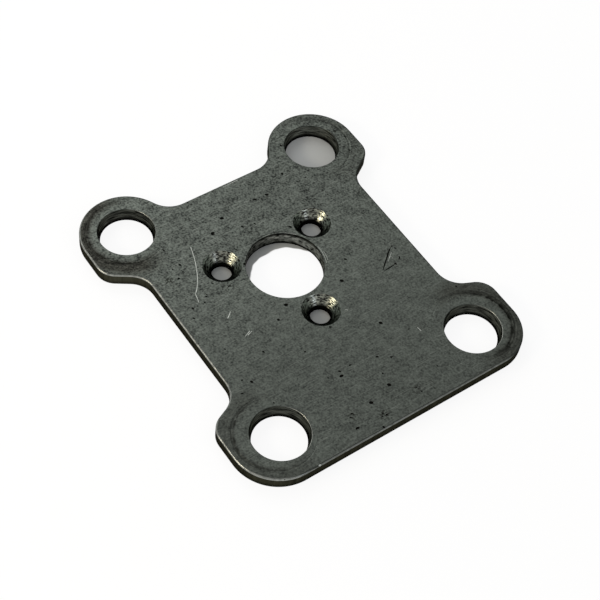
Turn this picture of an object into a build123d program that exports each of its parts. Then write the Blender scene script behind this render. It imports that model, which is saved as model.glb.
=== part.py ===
from build123d import *
from math import cos, radians, sin, tan
import os

# Motor mounting plate: one piece of 3 mm steel sheet, cut to outline and tumbled.
# The origin is on the axis of the pilot hole, on the back face. +Z points out of the
# front face, which takes the countersunk screws, and +Y runs along the plate.
# Lengths are in millimetres and angles in degrees.

# Sheet
sheet_thickness = 3.0
edge_break = 0.3               # edge worn off along the cut outline, both faces
hole_break = 0.2               # edge worn off at the mouths of the five large holes

# Pilot hole, which the boss of the motor seats in
pilot_diameter = 16.5

# Three countersunk screws that hold the motor, for M4 heads
screw_count = 3
screw_circle_diameter = 26.2
screw_first_angle = 30.0       # direction of the first screw from +X
screw_hole_diameter = 4.4
countersink_diameter = 7.9
countersink_angle = 90.0

# Four ears, each with a hole for a rubber grommet
grommet_hole_diameter = 12.0
grommet_spacing_across = 47.5
grommet_spacing_along = 57.2
pilot_to_upper_grommets = 24.3
ear_margin = 3.85              # metal between a grommet hole and the rim of its ear

# The lower ears run out wider than the upper ones, to square shoulders
foot_ear_reach = 10.5          # from a lower grommet hole out to the side of its ear
foot_corner = 9.4              # round between that side and the foot of the plate

# Outline between the ears
waist_step = 7.25              # from an upper ear's outer side in to the side of the plate
head_step = 9.1                # from the top of the upper ears down to the head edge
upper_toe_drop = 7.2           # from an upper grommet hole down to the ear's lower corner
lower_toe_rise = 8.0           # from a lower grommet hole up to the ear's upper corner
inner_flank_angle = 62.0       # the flanks, as slopes from the X direction
upper_flank_angle = 33.0
lower_flank_angle = 24.0
head_fillet = 5.8              # hollow corner between the head edge and an ear
waist_fillet = 5.6             # hollow corner between a side and an ear
toe_round = 4.4                # outer corner of an ear towards the waist

# Places that follow from the sizes above
ear_radius = grommet_hole_diameter / 2 + ear_margin
grommet_x = grommet_spacing_across / 2
upper_row_y = pilot_to_upper_grommets
lower_row_y = upper_row_y - grommet_spacing_along
ear_side_x = grommet_x + ear_radius
foot_side_x = grommet_x + foot_ear_reach
waist_x = ear_side_x - waist_step
foot_step = foot_side_x - waist_x
head_y = upper_row_y + ear_radius - head_step
foot_y = lower_row_y - ear_radius


def corner_radius(wanted, turn, *runs):
    """The wanted radius, or what the straight runs beside a corner leave room for."""
    return min(wanted, 0.48 * min(runs) / tan(radians(turn / 2)))


def plate_outline():
    """The cut outline as a face: half of it drawn from head to foot, then mirrored."""
    # The inner flank runs up from the head edge and touches the ear's arc.
    touch_x = grommet_x - ear_radius * sin(radians(inner_flank_angle))
    touch_y = upper_row_y + ear_radius * cos(radians(inner_flank_angle))
    flank_foot_x = touch_x - (touch_y - head_y) / tan(radians(inner_flank_angle))
    head_radius = corner_radius(head_fillet, inner_flank_angle, flank_foot_x, 2 * (touch_y - head_y))

    # The outer flanks slope from the toes of the ears in to the waist.
    upper_toe_y = upper_row_y - upper_toe_drop
    lower_toe_y = lower_row_y + lower_toe_rise
    waist_top_y = upper_toe_y - waist_step * tan(radians(upper_flank_angle))
    waist_end_y = lower_toe_y + foot_step * tan(radians(lower_flank_angle))
    upper_flank = waist_step / cos(radians(upper_flank_angle))
    lower_flank = foot_step / cos(radians(lower_flank_angle))
    waist_run = waist_top_y - waist_end_y
    lower_toe = corner_radius(toe_round, 90 - lower_flank_angle, lower_toe_rise, lower_flank)
    shoulder_run = lower_toe_y - foot_y - lower_toe * tan(radians(45 - lower_flank_angle / 2))
    side_radii = [
        corner_radius(toe_round, 90 - upper_flank_angle, upper_toe_drop, upper_flank),
        corner_radius(waist_fillet, 90 - upper_flank_angle, upper_flank, waist_run),
        corner_radius(waist_fillet, 90 - lower_flank_angle, lower_flank, waist_run),
        lower_toe,
        corner_radius(foot_corner, 90, 2 * shoulder_run, 2 * foot_side_x),
    ]

    with BuildSketch() as outline:
        with BuildLine():
            FilletPolyline((0, head_y), (flank_foot_x, head_y), (touch_x, touch_y), radius=[head_radius])
            CenterArc((grommet_x, upper_row_y), ear_radius, 90 + inner_flank_angle, -90 - inner_flank_angle)
            FilletPolyline(
                (ear_side_x, upper_row_y),
                (ear_side_x, upper_toe_y),
                (waist_x, waist_top_y),
                (waist_x, waist_end_y),
                (foot_side_x, lower_toe_y),
                (foot_side_x, foot_y),
                (0, foot_y),
                radius=side_radii,
            )
            mirror(about=Plane.YZ)
        make_face()
    return outline.sketch


def grommet_places():
    """Centres of the four ear holes."""
    return [(side * grommet_x, y) for y in (upper_row_y, lower_row_y) for side in (-1, 1)]


def mounting_plate():
    """The whole plate: blank, large holes, tumbled edges, then the countersunk screw holes."""
    with BuildPart() as plate:
        add(plate_outline())
        extrude(amount=sheet_thickness)
        with Locations((0, 0, 0)):
            Hole(radius=pilot_diameter / 2)
        with Locations(*grommet_places()):
            Hole(radius=grommet_hole_diameter / 2)

        faces = [plate.faces().sort_by(Axis.Z)[0], plate.faces().sort_by(Axis.Z)[-1]]
        outer_edges = [edge for face in faces for edge in face.outer_wire().edges()]
        hole_edges = [edge for face in faces for wire in face.inner_wires() for edge in wire.edges()]
        chamfer(outer_edges, length=edge_break)
        chamfer(hole_edges, length=hole_break)

        with Locations((0, 0, sheet_thickness)):
            with PolarLocations(screw_circle_diameter / 2, screw_count, start_angle=screw_first_angle):
                CounterSinkHole(
                    radius=screw_hole_diameter / 2,
                    counter_sink_radius=countersink_diameter / 2,
                    counter_sink_angle=countersink_angle,
                )
    return plate.part


os.makedirs("parts", exist_ok=True)
export_step(mounting_plate(), "parts/mounting_plate.step")
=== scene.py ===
from math import asin, cos, pi, radians, sin, tan
from random import Random

import bpy
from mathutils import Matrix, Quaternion, Vector


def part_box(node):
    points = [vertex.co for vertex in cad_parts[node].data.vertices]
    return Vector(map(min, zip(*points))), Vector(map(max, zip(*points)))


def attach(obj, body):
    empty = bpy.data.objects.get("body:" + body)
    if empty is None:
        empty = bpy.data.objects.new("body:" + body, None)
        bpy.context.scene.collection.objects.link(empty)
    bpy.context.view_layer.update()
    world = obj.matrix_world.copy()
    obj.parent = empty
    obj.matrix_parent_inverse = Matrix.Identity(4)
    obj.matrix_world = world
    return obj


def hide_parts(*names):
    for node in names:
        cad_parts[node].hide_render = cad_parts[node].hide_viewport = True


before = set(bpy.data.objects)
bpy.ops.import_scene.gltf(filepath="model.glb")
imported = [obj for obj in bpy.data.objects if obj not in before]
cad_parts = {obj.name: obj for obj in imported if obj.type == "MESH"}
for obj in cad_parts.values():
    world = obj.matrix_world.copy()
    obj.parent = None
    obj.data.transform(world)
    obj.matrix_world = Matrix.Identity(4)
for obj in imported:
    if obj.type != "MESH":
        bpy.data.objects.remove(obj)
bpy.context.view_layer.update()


# ---- The blank -------------------------------------------------------------------------
# One piece of 3 mm mild steel sheet, cut and filed to its outline, then tumbled, which
# rubs the rims of the cut edge round and bright; their paleness on the side that catches the
# warm lamp is partly a painted highlight. It carries every hole and mark below.

MM = 0.001
low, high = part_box("mounting_plate")
ear_radius = 9.85 * MM
shoulder_reach = 10.5 * MM     # from a lower hole out to the side of its ear
grommet_x = high.x - shoulder_reach
upper_y = high.y - ear_radius
lower_y = low.y + ear_radius
head_step = 9.1 * MM           # from the top of the upper ears down to the head edge
upper_toe_drop = 7.2 * MM      # from an upper hole down to the ear's lower corner
lower_toe_rise = 8.0 * MM      # from a lower hole up to the ear's upper corner
inner_flank = 62.0             # slopes of the ears' flanks, in degrees from across
upper_flank = 33.0
lower_flank = 24.0
head_fillet = 5.8 * MM
waist_fillet = 5.6 * MM
toe_round = 4.4 * MM
left_waist = 26.2 * MM         # from the middle out to the narrowest part
right_waist = 26.55 * MM
left_foot_corner = 10.1 * MM   # radius of the foot's corners
right_foot_corner = 9.1 * MM
left_ear_in = 0.15 * MM        # how far the filed halves are off the design
left_shoulder_in = 0.25 * MM
right_ear_out = 0.1 * MM
right_ear_drop = 0.15 * MM
rim_round = 0.30 * MM          # tumbled round along the outline
corner_round = 0.48 * MM       # rubbed rounder at the foot's left corner
foot_round = 0.38 * MM         # and a little along the foot
foot_reach = 9.5 * MM          # how far up from the foot the rounder rim fades out
arc_step = 3.0                 # degrees of turn between two vertices of an arc


def select_only(piece):
    bpy.ops.object.select_all(action="DESELECT")
    piece.select_set(True)
    bpy.context.view_layer.objects.active = piece


def start_line(name, place):
    """A new piece with one vertex, ready to be drawn on: a small plane merged to its middle."""
    bpy.ops.object.select_all(action="DESELECT")
    bpy.ops.mesh.primitive_plane_add(size=MM, location=place)
    piece = bpy.context.active_object
    piece.name = name
    bpy.ops.object.transform_apply(location=True, rotation=True, scale=True)
    bpy.ops.object.mode_set(mode="EDIT")
    bpy.ops.mesh.select_all(action="SELECT")
    bpy.ops.mesh.merge(type="CENTER")
    return piece


class Pen:
    """Draws one half of an outline flat on the sheet: side is 1 for the +X half and -1 for the
    other, which is drawn as its mirror image. Turns to the left are given in degrees."""

    def __init__(self, place, side):
        self.place = Vector(place)
        self.side = side
        self.heading = 0

    def straight(self, length):
        ahead = Vector((self.side * cos(radians(self.heading)), sin(radians(self.heading)), 0))
        step = ahead * length
        bpy.ops.mesh.extrude_region_move(TRANSFORM_OT_translate={"value": step})
        self.place = self.place + step

    def turn(self, radius, left):
        """An arc that is tangent to the last run."""
        bend = 1 if left > 0 else -1
        inward = Vector((-self.side * sin(radians(self.heading)), cos(radians(self.heading)), 0))
        centre = self.place + inward * bend * radius
        steps = max(4, round(abs(left) / arc_step))
        turned = radians(left * self.side)
        bpy.ops.mesh.spin(steps=steps, angle=-turned, center=centre, axis=(0, 0, 1))
        self.place = centre + Quaternion((0, 0, 1), turned) @ (self.place - centre)
        self.heading += left


def draw_half(side, ear_place, ear_round, waist_x, shoulder_x, foot_corner):
    """Half of the outline from head to foot. The halves were filed by hand and differ a little."""
    head_y = high.y - head_step
    ear_x, ear_y = ear_place
    touch_x = ear_x - ear_round * sin(radians(inner_flank))
    flank_rise = ear_y + ear_round * cos(radians(inner_flank)) - head_y
    flank_foot_x = touch_x - flank_rise / tan(radians(inner_flank))
    head_cut = head_fillet * tan(radians(inner_flank / 2))
    upper_turn = 90 - upper_flank
    lower_turn = 90 - lower_flank
    upper_toe_cut, lower_toe_cut = [
        toe_round * tan(radians(turn / 2)) for turn in (upper_turn, lower_turn)]
    upper_waist_cut, lower_waist_cut = [
        waist_fillet * tan(radians(turn / 2)) for turn in (upper_turn, lower_turn)]
    ear_step = ear_x + ear_round - waist_x
    shoulder_step = shoulder_x - waist_x
    upper_toe_y = upper_y - upper_toe_drop
    lower_toe_y = lower_y + lower_toe_rise
    waist_top = upper_toe_y - ear_step * tan(radians(upper_flank))
    waist_end = lower_toe_y + shoulder_step * tan(radians(lower_flank))

    half = start_line("half_outline", (0, head_y, high.z))
    pen = Pen((0, head_y, high.z), side)
    pen.straight(flank_foot_x - head_cut)
    pen.turn(head_fillet, inner_flank)
    pen.straight(flank_rise / sin(radians(inner_flank)) - head_cut)
    pen.turn(ear_round, -90 - inner_flank)
    pen.straight(ear_y - upper_toe_y - upper_toe_cut)
    pen.turn(toe_round, -upper_turn)
    pen.straight(ear_step / cos(radians(upper_flank)) - upper_toe_cut - upper_waist_cut)
    pen.turn(waist_fillet, upper_turn)
    pen.straight(waist_top - waist_end - upper_waist_cut - lower_waist_cut)
    pen.turn(waist_fillet, lower_turn)
    pen.straight(shoulder_step / cos(radians(lower_flank)) - lower_toe_cut - lower_waist_cut)
    pen.turn(toe_round, -lower_turn)
    pen.straight(lower_toe_y - lower_toe_cut - low.y - foot_corner)
    pen.turn(foot_corner, -90)
    pen.straight(shoulder_x - foot_corner)
    bpy.ops.object.mode_set(mode="OBJECT")
    return half


def cut_blank():
    """The two halves joined, filled and made as thick as the sheet."""
    left_half = draw_half(
        -1, (grommet_x - left_ear_in, upper_y), ear_radius,
        left_waist, high.x - left_shoulder_in, left_foot_corner)
    right_half = draw_half(
        1, (grommet_x + right_ear_out, upper_y - right_ear_drop), ear_radius + right_ear_drop,
        right_waist, high.x, right_foot_corner)
    select_only(right_half)
    left_half.select_set(True)
    bpy.ops.object.join()
    blank = bpy.context.active_object
    blank.name = "tumbled_plate"
    bpy.ops.object.mode_set(mode="EDIT")
    bpy.ops.mesh.select_all(action="SELECT")
    bpy.ops.mesh.remove_doubles(threshold=0.005 * MM)
    bpy.ops.mesh.edge_face_add()
    bpy.ops.mesh.extrude_region_move(TRANSFORM_OT_translate={"value": (0, 0, low.z - high.z)})
    bpy.ops.mesh.select_all(action="SELECT")
    bpy.ops.mesh.normals_make_consistent(inside=False)
    bpy.ops.object.mode_set(mode="OBJECT")
    return blank


def rim_width(here, there):
    """How far the tumbling rounded the edge between two corners of the blank."""
    over_foot = (here.y + there.y) / 2 - low.y
    round_corner = min(max(1 - over_foot / foot_reach, 0), 1)
    turned = asin(round_corner) / (pi / 2) if here.z > 0.5 * high.z else 0
    width = rim_round + (foot_round - rim_round) * turned
    if here.x + there.x < 0:
        width += (corner_round - foot_round) * min(turned, 3 * (1 - turned))
    return width


def add(tree, kind, sockets=None, **settings):
    """Adds a node: settings are the node's own, and sockets hold a value or a link each, where a
    node stands for its first output. A Map Range takes the range it reads in sockets 1 and 2 and
    the one it gives in 3 and 4. A Mix takes two numbers in 2 and 3, or two colours in 6 and 7."""
    made = tree.nodes.new(kind)
    for name, value in settings.items():
        setattr(made, name, value)
    for socket, value in (sockets or {}).items():
        if isinstance(value, bpy.types.Node):
            value = value.outputs[0]
        if isinstance(value, bpy.types.NodeSocket):
            tree.links.new(value, made.inputs[socket])
        else:
            made.inputs[socket].default_value = value
    return made


def linear(colour):
    """An sRGB hex colour as the linear numbers that a shader takes."""
    shares = [int(colour[at:at + 2], 16) / 255 for at in (0, 2, 4)]
    return [s / 12.92 if s <= 0.04045 else ((s + 0.055) / 1.055) ** 2.4 for s in shares] + [1.0]


def bare_steel(name):
    """A bare steel with nothing on it yet: its material, node tree, shader and place on the plate."""
    material = bpy.data.materials.new(name)
    material.use_nodes = True
    tree = material.node_tree
    shader = tree.nodes["Principled BSDF"]
    shader.inputs["Metallic"].default_value = 1.0
    shader.inputs["Specular Tint"].default_value = linear("606060")
    place = add(tree, "ShaderNodeTexCoord").outputs["Object"]
    return material, tree, shader, place


dent_size = 0.42 * MM          # the stones' dents, drawn coarse enough to show
cloud_size = 2.2 * MM
cloud_share = 0.45             # how much the clouds count beside the dents
speck_spacing = 1.5 * MM
hair_width = 0.16 * MM         # scratches as fine as hair, drawn wide enough to show
smear_places = [(-3.7, -40.0, 1.7), (5.2, -38.6, 1.3), (-9.3, -37.0, 1.3), (-13.1, 1.4, 1.5),
                (-22.6, 9.0, 1.6)]     # x, y and reach of each, in mm
foot_line = -10 * MM           # the two ears below it are the foot's
ring_slip = 0.6 * MM           # how far outboard and inward the foot ears' flanges sat
smudge_size = 1.6 * MM
swirl_pitch = 0.30 * MM        # between the fine rings that a flange rubbed
swirl_length = 3.5 * MM


def dented_grey(tree, place, axes):
    """Grey steel, mottled by the stones' dents and by clouds of oxide, livelier toward the head, and
    with painted light that makes it lighter toward the waist and a little darker at the head. Gives its
    colour, the dents and how lively it is."""
    tilted = add(tree, "ShaderNodeMapping", {"Vector": place, "Rotation": (0.5, 0.35, 0.6)})
    dents = add(tree, "ShaderNodeTexNoise", {
        "Vector": tilted, "Scale": 1 / dent_size, "Detail": 1.0, "Roughness": 0.5})
    clouds = add(tree, "ShaderNodeTexNoise", {"Vector": tilted, "Scale": 1 / cloud_size, "Detail": 3.0})
    tone = add(tree, "ShaderNodeMath", {0: clouds, 1: cloud_share}, operation="MULTIPLY")
    tone = add(tree, "ShaderNodeMath", {0: tone, 1: dents}, operation="ADD")
    tone = add(tree, "ShaderNodeMath", {0: tone, 1: (1 + cloud_share) / 2}, operation="SUBTRACT")
    lively = add(tree, "ShaderNodeMapRange", {0: axes[1], 1: -18 * MM, 2: 8 * MM, 3: 1.15, 4: 2.05})
    tone = add(tree, "ShaderNodeMath", {0: tone, 1: lively}, operation="MULTIPLY")
    # Painted light: a smooth slope of tone, lighter toward the waist and a little darker at the head.
    slant = add(tree, "ShaderNodeMath", {0: axes[0], 1: 0.8, 2: axes[1]}, operation="MULTIPLY_ADD")
    lift = add(tree, "ShaderNodeMapRange", {0: slant, 1: -35 * MM, 2: 5 * MM, 3: 0.45, 4: 0.555})
    head = add(tree, "ShaderNodeMapRange", {0: axes[1], 1: 0.0, 2: 15 * MM, 3: 0.0, 4: 0.07})
    lift = add(tree, "ShaderNodeMath", {0: lift, 1: head}, operation="SUBTRACT")
    tone = add(tree, "ShaderNodeMath", {0: tone, 1: lift}, operation="ADD", use_clamp=True)
    colour = add(tree, "ShaderNodeMix", {
        0: tone, 6: linear("2A2C2A"), 7: linear("727871")}, data_type="RGBA")
    return colour.outputs[2], dents, lively


def specks_and_hairs(tree, place, colour, lively):
    """Dark specks where the stones missed a rust spot, and pale hairlines along two lays."""
    cells = add(tree, "ShaderNodeTexVoronoi", {"Vector": place, "Scale": 1 / speck_spacing})
    size = add(tree, "ShaderNodeSeparateColor", {0: cells.outputs["Color"]})
    size = add(tree, "ShaderNodeMapRange", {0: size, 1: 0.55, 2: 1.0, 3: 0.0, 4: 0.15})
    speck = add(tree, "ShaderNodeMath", {0: size, 1: cells.outputs["Distance"]}, operation="SUBTRACT")
    speck = add(tree, "ShaderNodeMapRange", {0: speck, 1: 0.0, 2: 0.06, 3: 0.0, 4: 0.7})
    colour = add(tree, "ShaderNodeMix", {
        0: speck, 6: colour, 7: linear("1E201D")}, data_type="RGBA").outputs[2]
    for heading, length in ((25, 5.0 * MM), (118, 3.5 * MM)):
        lay = add(tree, "ShaderNodeMapping", {
            "Vector": place, "Rotation": (0, 0, radians(heading)),
            "Scale": (1 / length, 1 / hair_width, 1 / MM)})
        hair = add(tree, "ShaderNodeTexNoise", {"Vector": lay, "Scale": 1.0, "Detail": 0.0})
        hair = add(tree, "ShaderNodeMapRange", {0: hair, 1: 0.68, 2: 0.78, 3: 0.0, 4: 0.22})
        hair = add(tree, "ShaderNodeMath", {0: hair, 1: lively}, operation="MULTIPLY")
        colour = add(tree, "ShaderNodeMix", {
            0: hair, 6: colour, 7: linear("8E938B")}, data_type="RGBA").outputs[2]
    return colour


def oily_smears(tree, place, colour, dents):
    """Oil that dried in the dents, a few smears of it."""
    spotty = add(tree, "ShaderNodeMapRange", {0: dents, 1: 0.42, 2: 0.58, 3: 1.0, 4: 0.0})
    for x, y, reach in smear_places:
        gap = add(tree, "ShaderNodeVectorMath", {
            0: place, 1: (x * MM, y * MM, high.z)}, operation="DISTANCE").outputs["Value"]
        smear = add(tree, "ShaderNodeMapRange", {
            0: gap, 1: 0.3 * reach * MM, 2: reach * MM, 3: 0.75, 4: 0.0})
        smear = add(tree, "ShaderNodeMath", {0: smear, 1: spotty}, operation="MULTIPLY")
        colour = add(tree, "ShaderNodeMix", {
            0: smear, 6: colour, 7: linear("262722")}, data_type="RGBA").outputs[2]
    return colour


def from_hole(tree, place):
    """Where a point lies beside the grommet hole that is nearest to it: how far it is outboard of
    the hole's centre, and how far from it."""
    axes = add(tree, "ShaderNodeSeparateXYZ", {0: place}).outputs
    outboard = add(tree, "ShaderNodeMath", {0: axes[0]}, operation="ABSOLUTE")
    outboard = add(tree, "ShaderNodeMath", {0: outboard, 1: grommet_x}, operation="SUBTRACT")
    along = add(tree, "ShaderNodeMath", {0: axes[1], 1: (upper_y + lower_y) / 2}, operation="SUBTRACT")
    along = add(tree, "ShaderNodeMath", {0: along}, operation="ABSOLUTE")
    along = add(tree, "ShaderNodeMath", {0: along, 1: (upper_y - lower_y) / 2}, operation="SUBTRACT")
    flat = add(tree, "ShaderNodeCombineXYZ", {0: outboard, 1: along})
    reach = add(tree, "ShaderNodeVectorMath", {0: flat}, operation="LENGTH").outputs["Value"]
    return outboard, reach


def flange_rubbed(tree, place, axes, colour):
    """What the grommets' flanges did to the ears: a brownish zone on the outer side, a dark and
    broken ring where the flange ended, and fine rings round the hole. The left ear at the head and
    the right one at the foot have the most of it."""
    foot_ear = add(tree, "ShaderNodeMath", {0: axes[1], 1: foot_line}, operation="LESS_THAN")
    right = add(tree, "ShaderNodeMapRange", {0: axes[0], 1: -5 * MM, 2: 5 * MM, 3: 0.0, 4: 1.0})
    slip = add(tree, "ShaderNodeMath", {0: axes[0]}, operation="SIGN")
    slip = add(tree, "ShaderNodeMath", {0: slip, 1: ring_slip}, operation="MULTIPLY")
    slip = add(tree, "ShaderNodeCombineXYZ", {0: slip, 1: ring_slip})
    slip = add(tree, "ShaderNodeVectorMath", {0: slip, "Scale": foot_ear}, operation="SCALE")
    flange_place = add(tree, "ShaderNodeVectorMath", {0: place, 1: slip}, operation="SUBTRACT")
    outboard, reach = from_hole(tree, flange_place)
    smudge = add(tree, "ShaderNodeTexNoise", {"Vector": place, "Scale": 1 / smudge_size, "Detail": 3.0})
    wander = add(tree, "ShaderNodeMapRange", {0: smudge, 1: 0.3, 2: 0.7, 3: -0.25 * MM, 4: 0.25 * MM})
    ragged_reach = add(tree, "ShaderNodeMath", {0: reach, 1: wander}, operation="ADD")
    begin = add(tree, "ShaderNodeMapRange", {0: ragged_reach, 1: 6.8 * MM, 2: 8.2 * MM, 3: 0.0, 4: 1.0})

    head_wear = add(tree, "ShaderNodeMapRange", {0: axes[0], 1: -5 * MM, 2: 5 * MM, 3: 1.0, 4: 0.2})
    foot_wear = add(tree, "ShaderNodeMapRange", {0: axes[0], 1: -5 * MM, 2: 5 * MM, 3: 0.4, 4: 0.7})
    wear = add(tree, "ShaderNodeMix", {0: foot_ear, 2: head_wear, 3: foot_wear})
    end = add(tree, "ShaderNodeMapRange", {0: reach, 1: 10.0 * MM, 2: 12.5 * MM, 3: 1.0, 4: 0.0})
    outer_side = add(tree, "ShaderNodeMapRange", {0: outboard, 1: -5.0 * MM, 2: 1.0 * MM, 3: 0.0, 4: 1.0})
    zone = add(tree, "ShaderNodeMath", {0: begin, 1: end}, operation="MULTIPLY")
    zone = add(tree, "ShaderNodeMath", {0: zone, 1: outer_side}, operation="MULTIPLY")
    zone = add(tree, "ShaderNodeMath", {0: zone, 1: wear}, operation="MULTIPLY")
    brown = add(tree, "ShaderNodeMix", {
        0: 1.0, 6: colour, 7: linear("B1AAA7")}, data_type="RGBA", blend_type="MULTIPLY").outputs[2]
    colour = add(tree, "ShaderNodeMix", {0: zone, 6: colour, 7: brown}, data_type="RGBA").outputs[2]

    left_faint = add(tree, "ShaderNodeMapRange", {
        0: axes[1], 1: lower_y - 7.0 * MM, 2: lower_y - 1.0 * MM, 3: 0.45, 4: 0.85})
    right_faint = add(tree, "ShaderNodeMapRange", {
        0: axes[1], 1: lower_y + 5.5 * MM, 2: lower_y + 9.0 * MM, 3: 1.0, 4: 0.3})
    faint = add(tree, "ShaderNodeMix", {0: right, 2: left_faint, 3: right_faint})
    side = add(tree, "ShaderNodeMapRange", {0: outboard, 1: -3.0 * MM, 2: 3.0 * MM, 3: 0.0, 4: 1.0})
    side = add(tree, "ShaderNodeMath", {0: side, 1: faint}, operation="MULTIPLY")
    inside = add(tree, "ShaderNodeMapRange", {0: ragged_reach, 1: 7.75 * MM, 2: 8.05 * MM, 3: 0.0, 4: 1.0})
    wider = add(tree, "ShaderNodeMath", {
        0: right, 1: -0.35 * MM, 2: ragged_reach}, operation="MULTIPLY_ADD")
    outside = add(tree, "ShaderNodeMapRange", {0: wider, 1: 8.35 * MM, 2: 8.8 * MM, 3: 1.0, 4: 0.0})
    broken = add(tree, "ShaderNodeMapRange", {0: smudge, 1: 0.38, 2: 0.60, 3: 0.15, 4: 0.9})
    broken = add(tree, "ShaderNodeMath", {
        0: right, 1: 0.2, 2: broken}, operation="MULTIPLY_ADD", use_clamp=True)
    ring = add(tree, "ShaderNodeMath", {0: inside, 1: outside}, operation="MULTIPLY")
    ring = add(tree, "ShaderNodeMath", {0: ring, 1: side}, operation="MULTIPLY")
    ring = add(tree, "ShaderNodeMath", {0: ring, 1: broken}, operation="MULTIPLY")
    colour = add(tree, "ShaderNodeMix", {
        0: ring, 6: colour, 7: linear("1C1D1A")}, data_type="RGBA").outputs[2]

    turns = add(tree, "ShaderNodeMath", {0: reach, 1: 1 / swirl_pitch}, operation="MULTIPLY")
    spread = add(tree, "ShaderNodeMath", {0: outboard, 1: 1 / swirl_length}, operation="MULTIPLY")
    swirl = add(tree, "ShaderNodeCombineXYZ", {0: turns, 1: spread})
    swirl = add(tree, "ShaderNodeTexNoise", {"Vector": swirl, "Scale": 1.0, "Detail": 1.0})
    swirl = add(tree, "ShaderNodeMapRange", {0: swirl, 1: 0.3, 2: 0.7, 3: 0.55, 4: 1.42})
    swirled = add(tree, "ShaderNodeVectorMath", {0: colour, "Scale": swirl}, operation="SCALE")
    near_hole = add(tree, "ShaderNodeMapRange", {0: reach, 1: 9.5 * MM, 2: 12.0 * MM, 3: 1.0, 4: 0.0})
    all_round = add(tree, "ShaderNodeMapRange", {0: side, 1: 0.0, 2: 1.0, 3: 0.35, 4: 1.0})
    near_hole = add(tree, "ShaderNodeMath", {0: near_hole, 1: all_round}, operation="MULTIPLY")
    near_hole = add(tree, "ShaderNodeMath", {0: near_hole, 1: begin}, operation="MULTIPLY")
    near_hole = add(tree, "ShaderNodeMath", {0: near_hole, 1: wear}, operation="MULTIPLY")
    return add(tree, "ShaderNodeMix", {0: near_hole, 6: colour, 7: swirled}, data_type="RGBA").outputs[2]


def tumbled_mild_steel():
    """Rolled mild steel tumbled in stones, which leaves it dull and mottled, with fine dark specks
    and hairlines. The ears are rubbed by the grommets, and a few oily smears have dried on."""
    material, tree, shader, place = bare_steel("tumbled_mild_steel")
    axes = add(tree, "ShaderNodeSeparateXYZ", {0: place}).outputs
    colour, dents, lively = dented_grey(tree, place, axes)
    colour = specks_and_hairs(tree, place, colour, lively)
    colour = oily_smears(tree, place, colour, dents)
    colour = flange_rubbed(tree, place, axes, colour)
    rough = add(tree, "ShaderNodeMapRange", {0: dents, 1: 0.3, 2: 0.7, 3: 0.44, 4: 0.58})
    bump = add(tree, "ShaderNodeBump", {"Strength": 0.35, "Distance": 0.02 * MM, "Height": dents})
    tree.links.new(colour, shader.inputs["Base Color"])
    tree.links.new(rough.outputs[0], shader.inputs["Roughness"])
    tree.links.new(bump.outputs[0], shader.inputs["Normal"])
    return material


def rim_steel_with_painted_highlight(name, highlight_facing, pale):
    """A rim, pale where it faces one way at the left or the foot: partly bare metal where hands and
    the bench wore it, partly a painted highlight on the side that catches the warm lamp; dull and oily
    elsewhere."""
    material, tree, shader, place = bare_steel(name)
    # Painted highlight: paler where the rim's normal faces the given way, toward the warm lamp.
    normal = tree.nodes["Texture Coordinate"].outputs["Normal"]
    turned = add(tree, "ShaderNodeVectorMath", {
        0: normal, 1: highlight_facing}, operation="DOT_PRODUCT").outputs["Value"]
    rubbed = add(tree, "ShaderNodeMapRange", {0: turned, 1: 0.05, 2: 0.50, 3: 0.0, 4: 1.0})
    axes = add(tree, "ShaderNodeSeparateXYZ", {0: place}).outputs
    left = add(tree, "ShaderNodeMapRange", {0: axes[0], 1: -5 * MM, 2: -18 * MM, 3: 0.0, 4: 1.0})
    foot = add(tree, "ShaderNodeMapRange", {0: axes[1], 1: -20 * MM, 2: -30 * MM, 3: 0.0, 4: 1.0})
    handled = add(tree, "ShaderNodeMath", {0: left, 1: foot}, operation="MAXIMUM")
    grain = add(tree, "ShaderNodeTexNoise", {"Vector": place, "Scale": 1 / (0.9 * MM), "Detail": 3.0})
    patchy = add(tree, "ShaderNodeMapRange", {0: grain, 1: 0.3, 2: 0.7, 3: 0.45, 4: 1.0})
    rubbed = add(tree, "ShaderNodeMath", {0: rubbed, 1: patchy}, operation="MULTIPLY")
    rubbed = add(tree, "ShaderNodeMath", {0: rubbed, 1: handled}, operation="MULTIPLY")
    colour = add(tree, "ShaderNodeMix", {0: rubbed, 6: linear("3A3D39"), 7: linear(pale)}, data_type="RGBA")
    rough = add(tree, "ShaderNodeMapRange", {0: grain, 1: 0.3, 2: 0.7, 3: 0.26, 4: 0.40})
    tree.links.new(colour.outputs[2], shader.inputs["Base Color"])
    tree.links.new(rough.outputs[0], shader.inputs["Roughness"])
    return material


def cut_edge_steel():
    """The cut side of the sheet: brown oil on steel, with upright drag marks, darker toward its foot."""
    material, tree, shader, place = bare_steel("cut_edge_steel")
    drag = add(tree, "ShaderNodeMapping", {
        "Vector": place, "Scale": (1 / (0.6 * MM), 1 / (0.6 * MM), 1 / (4.0 * MM))})
    streak = add(tree, "ShaderNodeTexNoise", {"Vector": drag, "Scale": 1.0, "Detail": 3.0})
    colour = add(tree, "ShaderNodeMix", {
        0: streak, 6: linear("262620"), 7: linear("525145")}, data_type="RGBA")
    height = add(tree, "ShaderNodeSeparateXYZ", {0: place}).outputs[2]
    foot = add(tree, "ShaderNodeMapRange", {
        0: height, 1: low.z + 0.2 * MM, 2: low.z + 1.3 * MM, 3: 0.75, 4: 0.0})
    colour = add(tree, "ShaderNodeMix", {
        0: foot, 6: colour.outputs[2], 7: linear("12120F")}, data_type="RGBA")
    bump = add(tree, "ShaderNodeBump", {"Strength": 0.4, "Distance": 0.04 * MM, "Height": streak})
    shader.inputs["Roughness"].default_value = 0.5
    tree.links.new(colour.outputs[2], shader.inputs["Base Color"])
    tree.links.new(bump.outputs[0], shader.inputs["Normal"])
    return material


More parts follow.
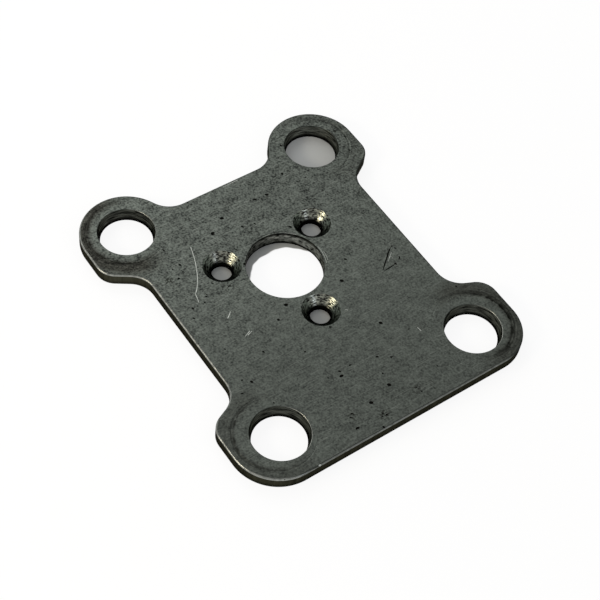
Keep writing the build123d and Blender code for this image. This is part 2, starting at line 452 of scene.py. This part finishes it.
FACE, RIM, EDGE = range(3)
plate = cut_blank()
# The outline's rim is paler on the side that catches the warm lamp: partly wear, partly a painted
# highlight.
outline_rim = rim_steel_with_painted_highlight("rim_steel_with_painted_highlight", (-0.95, -0.30, 0.0), "A8AAA4")
for finish in (tumbled_mild_steel(), outline_rim, cut_edge_steel()):
    plate.data.materials.append(finish)
for face in plate.data.polygons:
    face.material_index = FACE if abs(face.normal.z) > 0.5 else EDGE
rounding = plate.data.attributes.new("bevel_weight_edge", "FLOAT", "EDGE")
for edge in plate.data.edges:
    here, there = [plate.data.vertices[v].co for v in edge.vertices]
    if abs(here.z - there.z) < 0.01 * MM:
        rounding.data[edge.index].value = rim_width(here, there) / corner_round
rims = plate.modifiers.new("rims", "BEVEL")
rims.limit_method = "WEIGHT"
rims.width = corner_round
rims.segments = 5
rims.material = RIM
rims.use_clamp_overlap = False
select_only(plate)
bpy.ops.object.modifier_apply(modifier=rims.name)


# ---- The grommet holes ------------------------------------------------------------------
# Four 12 mm holes, one in each ear, for the rubber grommets that carry the motor. Each was
# drilled by hand, a little off its mark and narrower at the foot, and its rim deburred.

grommet_radius = 6.05 * MM
grommet_foot_radius = 5.54 * MM
grommet_rim = 0.15 * MM
ring_count = 5                 # tool rings down the wall
ring_pitch = 0.52 * MM         # between two of them
ring_depth = 0.06 * MM
ring_half = 0.12 * MM          # from a ring's middle to its edge
turned_steps = 96
clear = 1.0 * MM               # how far each tool stands out of the sheet
proud = 0.012 * MM             # how far its widest ring does, as no ring may lie in a face


def drilled_wall_steel(name, dark, pale, around=2.5 * MM, upright=0.32 * MM, painted_shade_height=1.2 * MM):
    """The wall of a hole: black oil on steel, marks of the tool's size each way, and painted shade that
    turns it black at its foot.
    """
    material, tree, shader, place = bare_steel(name)
    rings = add(tree, "ShaderNodeMapping", {
        "Vector": place, "Scale": (1 / around, 1 / around, 1 / upright)})
    ring = add(tree, "ShaderNodeTexNoise", {"Vector": rings, "Scale": 1.0, "Detail": 3.0})
    tone = add(tree, "ShaderNodeMapRange", {0: ring, 1: 0.35, 2: 0.65, 3: 0.0, 4: 1.0})
    colour = add(tree, "ShaderNodeMix", {0: tone, 6: linear(dark), 7: linear(pale)}, data_type="RGBA")
    height = add(tree, "ShaderNodeSeparateXYZ", {0: place}).outputs[2]
    # Painted shade: the wall goes black toward its foot.
    foot = add(tree, "ShaderNodeMapRange", {
        0: height, 1: low.z + 0.4 * painted_shade_height, 2: low.z + painted_shade_height, 3: 1.0, 4: 0.0})
    colour = add(tree, "ShaderNodeMix", {
        0: foot, 6: colour.outputs[2], 7: linear("080807")}, data_type="RGBA")
    bump = add(tree, "ShaderNodeBump", {"Strength": 0.5, "Distance": 0.03 * MM, "Height": ring})
    shader.inputs["Roughness"].default_value = 0.42
    tree.links.new(colour.outputs[2], shader.inputs["Base Color"])
    tree.links.new(bump.outputs[0], shader.inputs["Normal"])
    return material


def turned_tool(name, place, outline, finish, rim_finish, rim_depth):
    """A cutting tool turned about an upright line: outline is (radius, height) from the top down.
    What it cuts within rim_depth of either face gets the rim's finish."""
    here = outline[0]
    tool = start_line(name, (place[0] + here[0], place[1], here[1]))
    for there in outline[1:]:
        step = (there[0] - here[0], 0, there[1] - here[1])
        bpy.ops.mesh.extrude_region_move(TRANSFORM_OT_translate={"value": step})
        here = there
    bpy.ops.mesh.select_all(action="SELECT")
    bpy.ops.mesh.spin(steps=turned_steps, angle=2 * pi, center=(place[0], place[1], 0), axis=(0, 0, 1))
    bpy.ops.mesh.select_all(action="SELECT")
    bpy.ops.mesh.remove_doubles(threshold=0.002 * MM)
    bpy.ops.mesh.normals_make_consistent(inside=False)
    bpy.ops.object.mode_set(mode="OBJECT")
    tool.data.materials.append(finish)
    tool.data.materials.append(rim_finish)
    for face in tool.data.polygons:
        near_face = face.center.z > high.z - rim_depth or face.center.z < low.z + rim_depth
        face.material_index = 1 if near_face else 0
    return tool


def rim_arc(radius, round_radius, top):
    """The rounded rim of a hole at the top or the foot: points of a quarter turn, from the top down."""
    side = 1 if top else -1
    level = (high.z if top else low.z) + side * (proud - round_radius)
    turns = [90, 60, 30, 0] if top else [0, 30, 60, 90]
    return [(radius + round_radius * (1 - cos(radians(t))), level + side * round_radius * sin(radians(t)))
            for t in turns]


def cut(piece, tool, crossed=False):
    """Cuts the tool out of the piece. The cut takes the tool's finishes, and the tool is put away.
    A tool that is crossed has parts that run into each other."""
    select_only(piece)
    bite = piece.modifiers.new(tool.name, "BOOLEAN")
    bite.object = tool
    bite.solver = "EXACT"
    bite.use_self = crossed
    bite.material_mode = "TRANSFER"
    bpy.ops.object.modifier_apply(modifier=bite.name)
    bpy.data.objects.remove(tool)


# Black oil stayed on the grommet holes' walls; the far ear's wall gets a lighter copy of the steel, which
# is painted light.
reamed_wall = drilled_wall_steel("reamed_wall_steel", "0C0D0B", "555750")
painted_lit_wall = drilled_wall_steel("painted_lit_wall_steel", "1E201C", "7F827A")
# The holes' rims are paler on the side that catches the warm lamp: partly wear, partly a painted highlight.
rim_steel = rim_steel_with_painted_highlight("deburred_rim_painted_highlight", (-0.94, 0.34, 0.0), "9C9E97")
wall = []
for ring in range(1, ring_count + 1):
    level = high.z - grommet_rim - ring_pitch * ring
    share = (high.z - level) / (high.z - low.z)
    radius = grommet_radius + (grommet_foot_radius - grommet_radius) * share
    wall += [(radius, level + ring_half), (radius + ring_depth, level), (radius, level - ring_half)]
top_rim = rim_arc(grommet_radius, grommet_rim, True)
foot_rim = rim_arc(grommet_foot_radius, grommet_rim, False)
grommet_outline = ([(0, high.z + clear), (top_rim[0][0], high.z + clear)] + top_rim + wall + foot_rim
                   + [(foot_rim[-1][0], low.z - clear), (0, low.z - clear)])
grommet_marks = [(x, y) for y in (upper_y, lower_y) for x in (-grommet_x, grommet_x)]
drill_drift = [(0.15 * MM, 0.07 * MM), (-0.09 * MM, 0.16 * MM), (0.35 * MM, 0.0), (0.27 * MM, -0.15 * MM)]
for mark, drift in zip(grommet_marks, drill_drift):
    place = (mark[0] + drift[0], mark[1] + drift[1])
    # The far ear's wall takes the lighter copy: painted light.
    wall_steel = painted_lit_wall if mark == (grommet_x, upper_y) else reamed_wall
    cut(plate, turned_tool("reamer", place, grommet_outline, wall_steel, rim_steel, grommet_rim))


# ---- The pilot hole ---------------------------------------------------------------------
# The 16.5 mm hole that the motor's boss sits in, bored through on the same centre as the
# screws. The tool came down a little off centre first and left a thin crescent step.

pilot_radius = 8.25 * MM
pilot_rim = 0.12 * MM
crescent_shift = 0.38 * MM
crescent_depth = 0.42 * MM
crescent_heading = radians(52.0)     # from +X

bored_wall = drilled_wall_steel("bored_wall_steel", "282A26", "888A83", 1.0 * MM, 0.5 * MM, 0.8 * MM)
top_rim = rim_arc(pilot_radius, pilot_rim, True)
foot_rim = rim_arc(pilot_radius, pilot_rim, False)
pilot_outline = ([(0, high.z + clear), (top_rim[0][0], high.z + clear)] + top_rim + foot_rim
                 + [(foot_rim[-1][0], low.z - clear), (0, low.z - clear)])
cut(plate, turned_tool("boring_tool", (0, 0), pilot_outline, bored_wall, rim_steel, pilot_rim))
crescent_place = (crescent_shift * cos(crescent_heading), crescent_shift * sin(crescent_heading))
crescent_outline = [(0, high.z + clear), (pilot_radius, high.z + clear),
                    (pilot_radius, high.z - crescent_depth), (0, high.z - crescent_depth)]
first_bite = turned_tool("first_bite", crescent_place, crescent_outline, bored_wall, reamed_wall, 0.0)
for face in first_bite.data.polygons:
    face.material_index = 0 if abs(face.normal.z) > 0.5 else 1
cut(plate, first_bite)


# ---- The screw holes --------------------------------------------------------------------
# Three countersunk clearance holes for the motor's M4 flat head screws, 120 degrees apart.
# The countersink chattered in the steel, so its bright cone is broken by rings and ripples.

screw_circle = 13.1 * MM
screw_headings = (30, 150, 270)      # degrees from +X
screw_radius = 2.14 * MM
sink_radius = 4.08 * MM
sink_depth = sink_radius - screw_radius
sink_foot_slack = 0.02 * MM    # a face this far below the cone's foot belongs to the screw's wall
chatter = 0.045 * MM
chatter_rings = 8
foot_dark_top = 1.30 * MM            # below the face, where the cone starts to darken toward its foot
foot_dark_full = 1.72 * MM           # and where it is darkest
glint_heading = radians(50.0)         # the cone's far side, painted pale where the glints fall, from +X


def countersunk_steel():
    """Metal cut by a countersink: broken rings round the hole, darker toward its foot. It is painted
    palest on its far side, where the glints fall, and darker elsewhere: a painted highlight and painted
    shade."""
    material, tree, shader, place = bare_steel("countersunk_steel")
    rings = add(tree, "ShaderNodeMapping", {
        "Vector": place, "Scale": (1 / (0.7 * MM), 1 / (0.7 * MM), 1 / (0.22 * MM))})
    ring = add(tree, "ShaderNodeTexNoise", {"Vector": rings, "Scale": 1.0, "Detail": 2.0})
    tone = add(tree, "ShaderNodeMapRange", {0: ring, 1: 0.38, 2: 0.62, 3: 0.0, 4: 1.0})
    # Painted highlight: the cone is paler on its far side, where the glints fall, and darker elsewhere.
    normal = tree.nodes["Texture Coordinate"].outputs["Normal"]
    turned = add(tree, "ShaderNodeVectorMath", {
        0: normal, 1: (-cos(glint_heading), -sin(glint_heading), 0.0)}, operation="DOT_PRODUCT").outputs["Value"]
    bare = add(tree, "ShaderNodeMapRange", {0: turned, 1: 0.35, 2: 0.60, 3: 0.0, 4: 1.0})
    pale = add(tree, "ShaderNodeMix", {0: bare, 6: linear("727B70"), 7: linear("94968A")}, data_type="RGBA")
    colour = add(tree, "ShaderNodeMix", {
        0: tone, 6: linear("101310"), 7: pale.outputs[2]}, data_type="RGBA")
    height = add(tree, "ShaderNodeSeparateXYZ", {0: place}).outputs[2]
    foot = add(tree, "ShaderNodeMapRange", {
        0: height, 1: high.z - foot_dark_full, 2: high.z - foot_dark_top, 3: 0.95, 4: 0.0})
    colour = add(tree, "ShaderNodeMix", {
        0: foot, 6: colour.outputs[2], 7: linear("0A0A08")}, data_type="RGBA")
    bump = add(tree, "ShaderNodeBump", {"Strength": 1.0, "Distance": 0.06 * MM, "Height": ring})
    shader.inputs["Roughness"].default_value = 0.26
    tree.links.new(colour.outputs[2], shader.inputs["Base Color"])
    tree.links.new(bump.outputs[0], shader.inputs["Normal"])
    return material


screw_wall = drilled_wall_steel("drilled_wall_steel", "0E0D0B", "2A2823")
countersunk = countersunk_steel()
cone = []
for ring in range(chatter_rings + 1):
    share = ring / chatter_rings
    wander = chatter if ring % 2 else 0.0
    cone.append((sink_radius - sink_depth * share - wander, high.z - sink_depth * share))
cone[0] = (sink_radius + proud, high.z + proud)
screw_outline = ([(0, high.z + clear), (sink_radius + proud, high.z + clear)] + cone
                 + [(screw_radius, low.z - clear), (0, low.z - clear)])
screw_places = [(screw_circle * cos(radians(a)), screw_circle * sin(radians(a))) for a in screw_headings]
for place in screw_places:
    tool = turned_tool("countersink", place, screw_outline, countersunk, screw_wall, 0.0)
    for face in tool.data.polygons:
        face.material_index = 1 if face.center.z < high.z - sink_depth - sink_foot_slack else 0
    cut(plate, tool)


# ---- The marks of use -------------------------------------------------------------------
# What the plate's life left on it: the grommets' flanges wore a ring into each ear, rust
# and grit left pits, and tools left pale scratches and a few nicks in the rim.

ring_line = 8.35 * MM          # radius of the worn ring round each grommet hole
ring_tool = 0.6 * MM           # radius of the ring's hollow section
ring_bite = 0.05 * MM
ring_tilt = radians(0.30)      # the flanges bore a little harder on the outer side
pit_heading = radians(-35)     # that the pits lie along, give or take pit_turn in radians
pit_turn = 0.7
pit_squash = (0.45, 0.8)       # a pit's shorter side and its depth, least and greatest, each as a
pit_depth = (0.45, 0.6)        # share of its longer side

# Where the pits are, in mm from the pilot's centre, by half their longer side, also in mm.
pit_places = {
    0.46: [(4.4, 18.1), (7.3, 17.9), (-4.5, 17.3), (-8.5, 14.6), (6.7, 8.0), (-5.5, -8.4), (7.9, -9.3),
           (-5.8, -28.4), (-4.4, -36.5), (8.5, -22.1), (-10.1, -39.8), (1.1, -35.0), (-8.3, 14.9),
           (-6.9, 4.6)],
    0.34: [(-2.0, 13.2), (0.7, 12.5), (-6.4, 8.6), (11.8, -5.1), (-8.9, -10.7), (-15.4, 3.9),
           (-23.3, -1.6), (-22.2, 0.6), (-18.3, 1.7), (-18.6, 11.3), (-19.5, 16.2), (-20.7, 8.4),
           (20.2, -11.5), (-2.8, -27.2), (3.0, -28.4), (-5.6, -42.3), (-5.5, -27.3), (-21.7, -20.3),
           (-24.8, -21.6), (-15.8, -15.6), (13.5, 21.1), (30.7, 25.5), (17.9, 28.1), (-22.5, -34.4),
           (5.4, -29.9), (-0.9, -17.6)],
    0.24: [(-20.5, 11.1), (-19.0, 9.5), (-19.3, 0.6), (-17.9, 2.0), (-15.4, 27.6), (15.1, 17.6),
           (17.4, 17.7), (15.4, 25.3), (-22.0, -11.1), (-23.1, -19.0), (-9.1, -36.5), (-8.3, -27.4),
           (-20.7, -26.6), (1.6, -32.2), (-8.7, -19.9), (5.3, -30.0), (27.6, -22.8), (12.5, -26.3),
           (5.7, -39.6), (5.4, -38.3), (22.3, -7.3), (22.6, -8.1), (-12.9, 1.5), (-9.8, -37.1),
           (12.1, -36.5), (-3.9, -39.7), (-3.4, -40.3), (-4.4, -40.2)],
    0.65: [(-5.9, 5.2)]}


def grimed_pit_steel():
    """The bottom of a rust pit: rough and nearly black."""
    material, tree, shader, place = bare_steel("grimed_pit_steel")
    shader.inputs["Base Color"].default_value = linear("171815")
    grit = add(tree, "ShaderNodeTexNoise", {"Vector": place, "Scale": 1 / (0.15 * MM), "Detail": 2.0})
    rough = add(tree, "ShaderNodeMapRange", {0: grit, 1: 0.3, 2: 0.7, 3: 0.6, 4: 0.9})
    tree.links.new(rough.outputs[0], shader.inputs["Roughness"])
    return material


def scratched_steel():
    """A scratch through the dull skin: bare, pale metal."""
    material, tree, shader, place = bare_steel("scratched_steel")
    burr = add(tree, "ShaderNodeTexNoise", {"Vector": place, "Scale": 1 / (0.8 * MM), "Detail": 2.0})
    colour = add(tree, "ShaderNodeMix", {
        0: burr, 6: linear("7C807A"), 7: linear("C4C7C0")}, data_type="RGBA")
    shader.inputs["Roughness"].default_value = 0.42
    tree.links.new(colour.outputs[2], shader.inputs["Base Color"])
    return material


for mark in grommet_marks:
    outward = 1 if mark[0] > 0 else -1
    slip = ring_slip if mark[1] < 0 else 0.0
    bpy.ops.object.select_all(action="DESELECT")
    bpy.ops.mesh.primitive_torus_add(
        major_radius=ring_line, minor_radius=ring_tool, major_segments=120, minor_segments=24,
        location=(mark[0] + outward * slip, mark[1] + slip, high.z + ring_tool - ring_bite),
        rotation=(0, ring_tilt * outward, 0))
    tool = bpy.context.active_object
    tool.name = "flange_wear"
    bpy.ops.object.transform_apply(location=True, rotation=True, scale=True)
    tool.data.materials.append(plate.data.materials[FACE])
    cut(plate, tool)

chance = Random(4)
pits = []
for across, places in pit_places.items():
    for x, y in places:
        along = across * chance.uniform(*pit_squash)
        deep = across * chance.uniform(*pit_depth)
        bpy.ops.object.select_all(action="DESELECT")
        bpy.ops.mesh.primitive_ico_sphere_add(
            subdivisions=2, radius=MM, location=(x * MM, y * MM, high.z + proud),
            rotation=(0, 0, pit_heading + chance.uniform(-pit_turn, pit_turn)))
        pit = bpy.context.active_object
        pit.scale = (across, along, deep)
        bpy.ops.object.transform_apply(location=True, rotation=True, scale=True)
        pits.append(pit)
bpy.ops.object.select_all(action="DESELECT")
for pit in pits:
    pit.select_set(True)
bpy.ops.object.join()
pits = bpy.context.active_object
pits.name = "pits"
pit_grime = grimed_pit_steel()
pits.data.materials.append(pit_grime)
cut(plate, pits, crossed=True)

scratched = scratched_steel()
nicks = [(-20.94, -42.97, 0.22, 0.56, scratched), (-28.45, -41.9, 0.05, 0.40, pit_grime)]
for x, y, lift, radius, finish in nicks:      # all but the finish in mm, lift from the face
    bpy.ops.object.select_all(action="DESELECT")
    bpy.ops.mesh.primitive_ico_sphere_add(
        subdivisions=3, radius=radius * MM, location=(x * MM, y * MM, high.z + lift * MM))
    nick = bpy.context.active_object
    nick.name = "nick"
    bpy.ops.object.transform_apply(location=True, rotation=True, scale=True)
    nick.data.materials.append(finish)
    cut(plate, nick)


def stroke_tool(route, radius, bite, finish):
    """A fine round wire along a route on the face, sunk by bite and lifted out at both ends."""
    level = high.z + radius - bite
    points = [Vector((x * MM, y * MM, level)) for x, y in route]
    points[0].z += bite
    points[-1].z += bite
    start_line("scriber", points[0])
    for here, there in zip(points, points[1:]):
        bpy.ops.mesh.extrude_region_move(TRANSFORM_OT_translate={"value": there - here})
    bpy.ops.object.mode_set(mode="OBJECT")
    bpy.ops.object.convert(target="CURVE")
    tool = bpy.context.active_object
    tool.data.bevel_depth = radius
    tool.data.bevel_resolution = 3
    tool.data.use_fill_caps = True
    bpy.ops.object.convert(target="MESH")
    tool = bpy.context.active_object
    bpy.ops.object.mode_set(mode="EDIT")
    bpy.ops.mesh.select_all(action="SELECT")
    bpy.ops.mesh.remove_doubles(threshold=0.001 * MM)
    bpy.ops.mesh.normals_make_consistent(inside=False)
    bpy.ops.object.mode_set(mode="OBJECT")
    tool.data.materials.clear()
    tool.data.materials.append(finish)
    return tool


def ring_route(radius, begin, end, parts=6):
    """Points in mm along an arc about the pilot's centre, its ends in degrees from +X."""
    turns = [begin + (end - begin) * k / parts for k in range(parts + 1)]
    return [(radius * cos(radians(t)), radius * sin(radians(t))) for t in turns]


# The routes of the scratches, in mm from the pilot's centre. The chips that the boring tool
# threw out left fine arcs beside its hole, and its burr a dark one.
long_scratch = [(-14.1, 14.6), (-14.5, 13.3), (-14.8, 12.3), (-15.6, 10.1), (-16.7, 7.7), (-17.9, 5.6),
                (-19.0, 4.2), (-19.8, 3.4), (-20.1, 2.2), (-20.5, 0.8)]
short_scratches = [
    [(-17.8, -11.0), (-16.1, -10.3), (-14.4, -9.6)], [(-17.0, -11.0), (-15.6, -10.4), (-14.2, -10.0)],
    [(-15.3, -3.4), (-16.7, -4.5), (-18.4, -5.8)], [(-15.0, -4.0), (-14.1, -5.1)],
    [(4.0, -15.3), (4.5, -15.8), (4.8, -16.4)], [(14.2, -26.1), (14.4, -27.4), (14.5, -28.7)]]
gouges = [[(22.0, -7.4), (20.7, -8.3), (19.8, -9.1), (18.2, -10.4), (16.8, -11.6)],
          [(16.8, -11.8), (18.4, -11.7), (20.3, -11.5)], [(21.6, -11.0), (21.9, -10.6), (22.1, -10.2)]]
hairlines = [[(19.2, -9.9), (20.6, -9.4), (20.5, -11.1)], [(22.4, -7.7), (20.4, -9.25), (17.6, -11.4)],
             [(-2.2, 24.4), (2.2, 24.5), (6.6, 24.6)]]
chip_arcs = [ring_route(8.75, 8, -30), ring_route(9.15, -4, -24), ring_route(8.65, 60, 38)]
burr_arc = ring_route(8.95, 100, 52)
strokes = [                    # routes, then the radius of the point and how deep it sank
    ([long_scratch], 0.17 * MM, 0.026 * MM, scratched), (short_scratches, 0.20 * MM, 0.018 * MM, scratched),
    (gouges, 0.17 * MM, 0.10 * MM, pit_grime), (hairlines, 0.14 * MM, 0.012 * MM, scratched),
    (chip_arcs, 0.12 * MM, 0.010 * MM, scratched), ([burr_arc], 0.12 * MM, 0.03 * MM, pit_grime)]
for routes, radius, bite, finish in strokes:
    for route in routes:
        cut(plate, stroke_tool(route, radius, bite, finish))


# ---- The finished plate -----------------------------------------------------------------
# The plate as it leaves the bench: one piece, with its faces shaded flat and rims soft.

level_slack = 0.001 * MM       # how far a level face's centre may lie from the sheet's faces

select_only(plate)
bpy.ops.object.shade_smooth_by_angle(angle=radians(40))
level_edges = set()
bent_edges = set()
for face in plate.data.polygons:
    off_face = min(abs(face.center.z - z) for z in (low.z, high.z))
    level = abs(face.normal.z) > 0.99999 and off_face < level_slack
    (level_edges if level else bent_edges).update(face.edge_keys)
for edge in plate.data.edges:
    if edge.key in level_edges and edge.key in bent_edges:
        edge.use_edge_sharp = True
flatten = plate.modifiers.new("flat faces", "WEIGHTED_NORMAL")
flatten.keep_sharp = True
bpy.ops.object.modifier_apply(modifier=flatten.name)
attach(plate, "root")
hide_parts("mounting_plate")


# ---- The bench and the light ------------------------------------------------------------
# A white bench under a soft white tent, with one large soft lamp behind the plate and two
# small hot ones, warm on the left and cool on the right, that the rims and cuts pick up.

bench_size = 4.0
bench_gap = 0.02 * MM          # keeps the bench out of the plane of the plate's underside
tent_brightness = 0.64
screw_shade = 3.2 * MM         # radius of the painted shade seen through a small hole
ear_shade = 7.2 * MM           # and through the far ear's
pilot_shade_middle = (0.4 * MM, -2.3 * MM, 0)    # of the painted shade's edge in the pilot hole
pilot_shade_edge = (8.5 * MM, 8.8 * MM)          # its radii, from light to shade
pilot_shade_end = 9.5 * MM     # past the pilot hole's rim
ragged_size = 3.5 * MM         # of the bumps in that edge, and how far they reach
ragged_reach = 0.3 * MM


def card_shade(tree, place):
    """How much painted shade, standing in for the plate's shade, a point of the card gets: fully,
    seen through the small holes, nearly so through the far ear's, and in a ragged crescent at the head side
    of the pilot hole."""
    shade = 0.0
    shade_places = [(x, y, screw_shade, 1.0) for x, y in screw_places]
    shade_places.append((grommet_x, upper_y, ear_shade, 0.95))
    for x, y, reach, depth in shade_places:
        gap = add(tree, "ShaderNodeVectorMath", {
            0: place, 1: (x, y, 0)}, operation="DISTANCE").outputs["Value"]
        spot = add(tree, "ShaderNodeMath", {0: gap, 1: reach}, operation="LESS_THAN")
        spot = add(tree, "ShaderNodeMath", {0: spot, 1: depth}, operation="MULTIPLY")
        shade = add(tree, "ShaderNodeMath", {0: shade, 1: spot}, operation="MAXIMUM")
    ragged = add(tree, "ShaderNodeTexNoise", {"Vector": place, "Scale": 1 / ragged_size, "Detail": 1.0})
    ragged = add(tree, "ShaderNodeMapRange", {0: ragged, 1: 0.3, 2: 0.7, 3: -ragged_reach, 4: ragged_reach})
    gap = add(tree, "ShaderNodeVectorMath", {
        0: place, 1: pilot_shade_middle}, operation="DISTANCE").outputs["Value"]
    gap = add(tree, "ShaderNodeMath", {0: gap, 1: ragged}, operation="ADD")
    spot = add(tree, "ShaderNodeMapRange", {
        0: gap, 1: pilot_shade_edge[0], 2: pilot_shade_edge[1], 3: 0.0, 4: 1.0})
    gap = add(tree, "ShaderNodeVectorMath", {0: place, 1: (0, 0, 0)}, operation="DISTANCE").outputs["Value"]
    inside = add(tree, "ShaderNodeMath", {0: gap, 1: pilot_shade_end}, operation="LESS_THAN")
    spot = add(tree, "ShaderNodeMath", {0: spot, 1: inside}, operation="MULTIPLY")
    return add(tree, "ShaderNodeMath", {0: shade, 1: spot}, operation="MAXIMUM")


def white_card():
    """Matt white card. Camera, mirror and glass see it almost white, so that its shadows stay, but
    are faint, and see it grey where shade is painted on it, seen through the plate's holes."""
    card = bpy.data.materials.new("white_card")
    card.use_nodes = True
    tree = card.node_tree
    shader = tree.nodes["Principled BSDF"]
    shader.inputs["Roughness"].default_value = 0.9
    shader.inputs["Specular IOR Level"].default_value = 0.1
    shade = card_shade(tree, add(tree, "ShaderNodeTexCoord").outputs["Object"])
    # Painted shade: the card turns grey where card_shade says.
    shaded = add(tree, "ShaderNodeMix", {
        0: shade, 6: linear("FAFAFA"), 7: linear("9C9E9C")}, data_type="RGBA")
    tree.links.new(shaded.outputs[2], shader.inputs["Base Color"])
    rays = add(tree, "ShaderNodeLightPath").outputs
    seen = add(tree, "ShaderNodeMath", {
        0: rays["Is Camera Ray"], 1: rays["Is Glossy Ray"]}, operation="ADD", use_clamp=True)
    seen = add(tree, "ShaderNodeMath", {
        0: seen, 1: rays["Is Transmission Ray"]}, operation="ADD", use_clamp=True)
    lit = add(tree, "ShaderNodeMapRange", {0: shade, 1: 0.0, 2: 1.0, 3: 0.88, 4: 0.0})
    share = add(tree, "ShaderNodeMath", {0: seen, 1: lit}, operation="MULTIPLY")
    glow = add(tree, "ShaderNodeEmission", {"Color": linear("FFFFFF"), "Strength": 1.0})
    mixed = add(tree, "ShaderNodeMixShader", {0: share, 1: shader.outputs[0], 2: glow})
    tree.links.new(mixed.outputs[0], tree.nodes["Material Output"].inputs["Surface"])
    return card


bpy.ops.object.select_all(action="DESELECT")
bpy.ops.mesh.primitive_plane_add(size=bench_size, location=(0, 0, low.z - bench_gap))
bench = bpy.context.active_object
bench.name = "bench"
bench.data.materials.append(white_card())

tent = bpy.data.worlds.new("white_tent")
tent.use_nodes = True
tent.node_tree.nodes["Background"].inputs["Color"].default_value = linear("FFFFFF")
tent.node_tree.nodes["Background"].inputs["Strength"].default_value = tent_brightness
bpy.context.scene.world = tent

middle = Vector((0, (low.y + high.y) / 2, high.z))


def soft_lamp(name, heading, distance, size, brightness, colour):
    """An upright panel lamp that faces the plate: brightness is that of its face, white card's is 1."""
    place = middle + Vector(heading).normalized() * distance
    bpy.ops.object.light_add(type="AREA", location=place)
    lamp = bpy.context.active_object
    lamp.name = name
    lamp.data.shape = "RECTANGLE"
    lamp.data.size, lamp.data.size_y = size
    lamp.data.energy = brightness * pi * size[0] * size[1]
    lamp.data.color = linear(colour)[:3]
    lamp.rotation_mode = "QUATERNION"
    lamp.rotation_quaternion = (middle - place).to_track_quat("-Z", "Y")


soft_lamp("sky_panel", (0.06, 0.82, 0.62), 0.60, (0.36, 0.36), 3.0, "FFFFFF")
soft_lamp("warm_lamp", (-0.85, 0.14, 0.50), 0.50, (0.18, 0.10), 17.0, "FFF2DA")
soft_lamp("cool_lamp", (0.20, -0.84, 0.50), 0.50, (0.10, 0.08), 6.8, "E2EAFF")


# ---- The camera -------------------------------------------------------------------------
# A long lens held over the near left corner of the plate, tilted a little clockwise.

azimuth, elevation, roll = radians(-41.07), radians(53.69), radians(8.145)
aim = Vector((-2.35 * MM, -8.88 * MM, high.z))
distance = 299.8 * MM
back = Vector((sin(azimuth) * cos(elevation), -cos(azimuth) * cos(elevation), sin(elevation)))
bpy.ops.object.camera_add(location=aim + back * distance)
camera = bpy.context.active_object
camera.data.lens = 88.1
camera.data.sensor_width = 36.0
camera.data.clip_start = 0.01
camera.rotation_mode = "QUATERNION"
camera.rotation_quaternion = (-back).to_track_quat("-Z", "Y") @ Quaternion((0, 0, 1), roll)
bpy.context.scene.camera = camera
bpy.context.scene.view_settings.view_transform = "Standard"
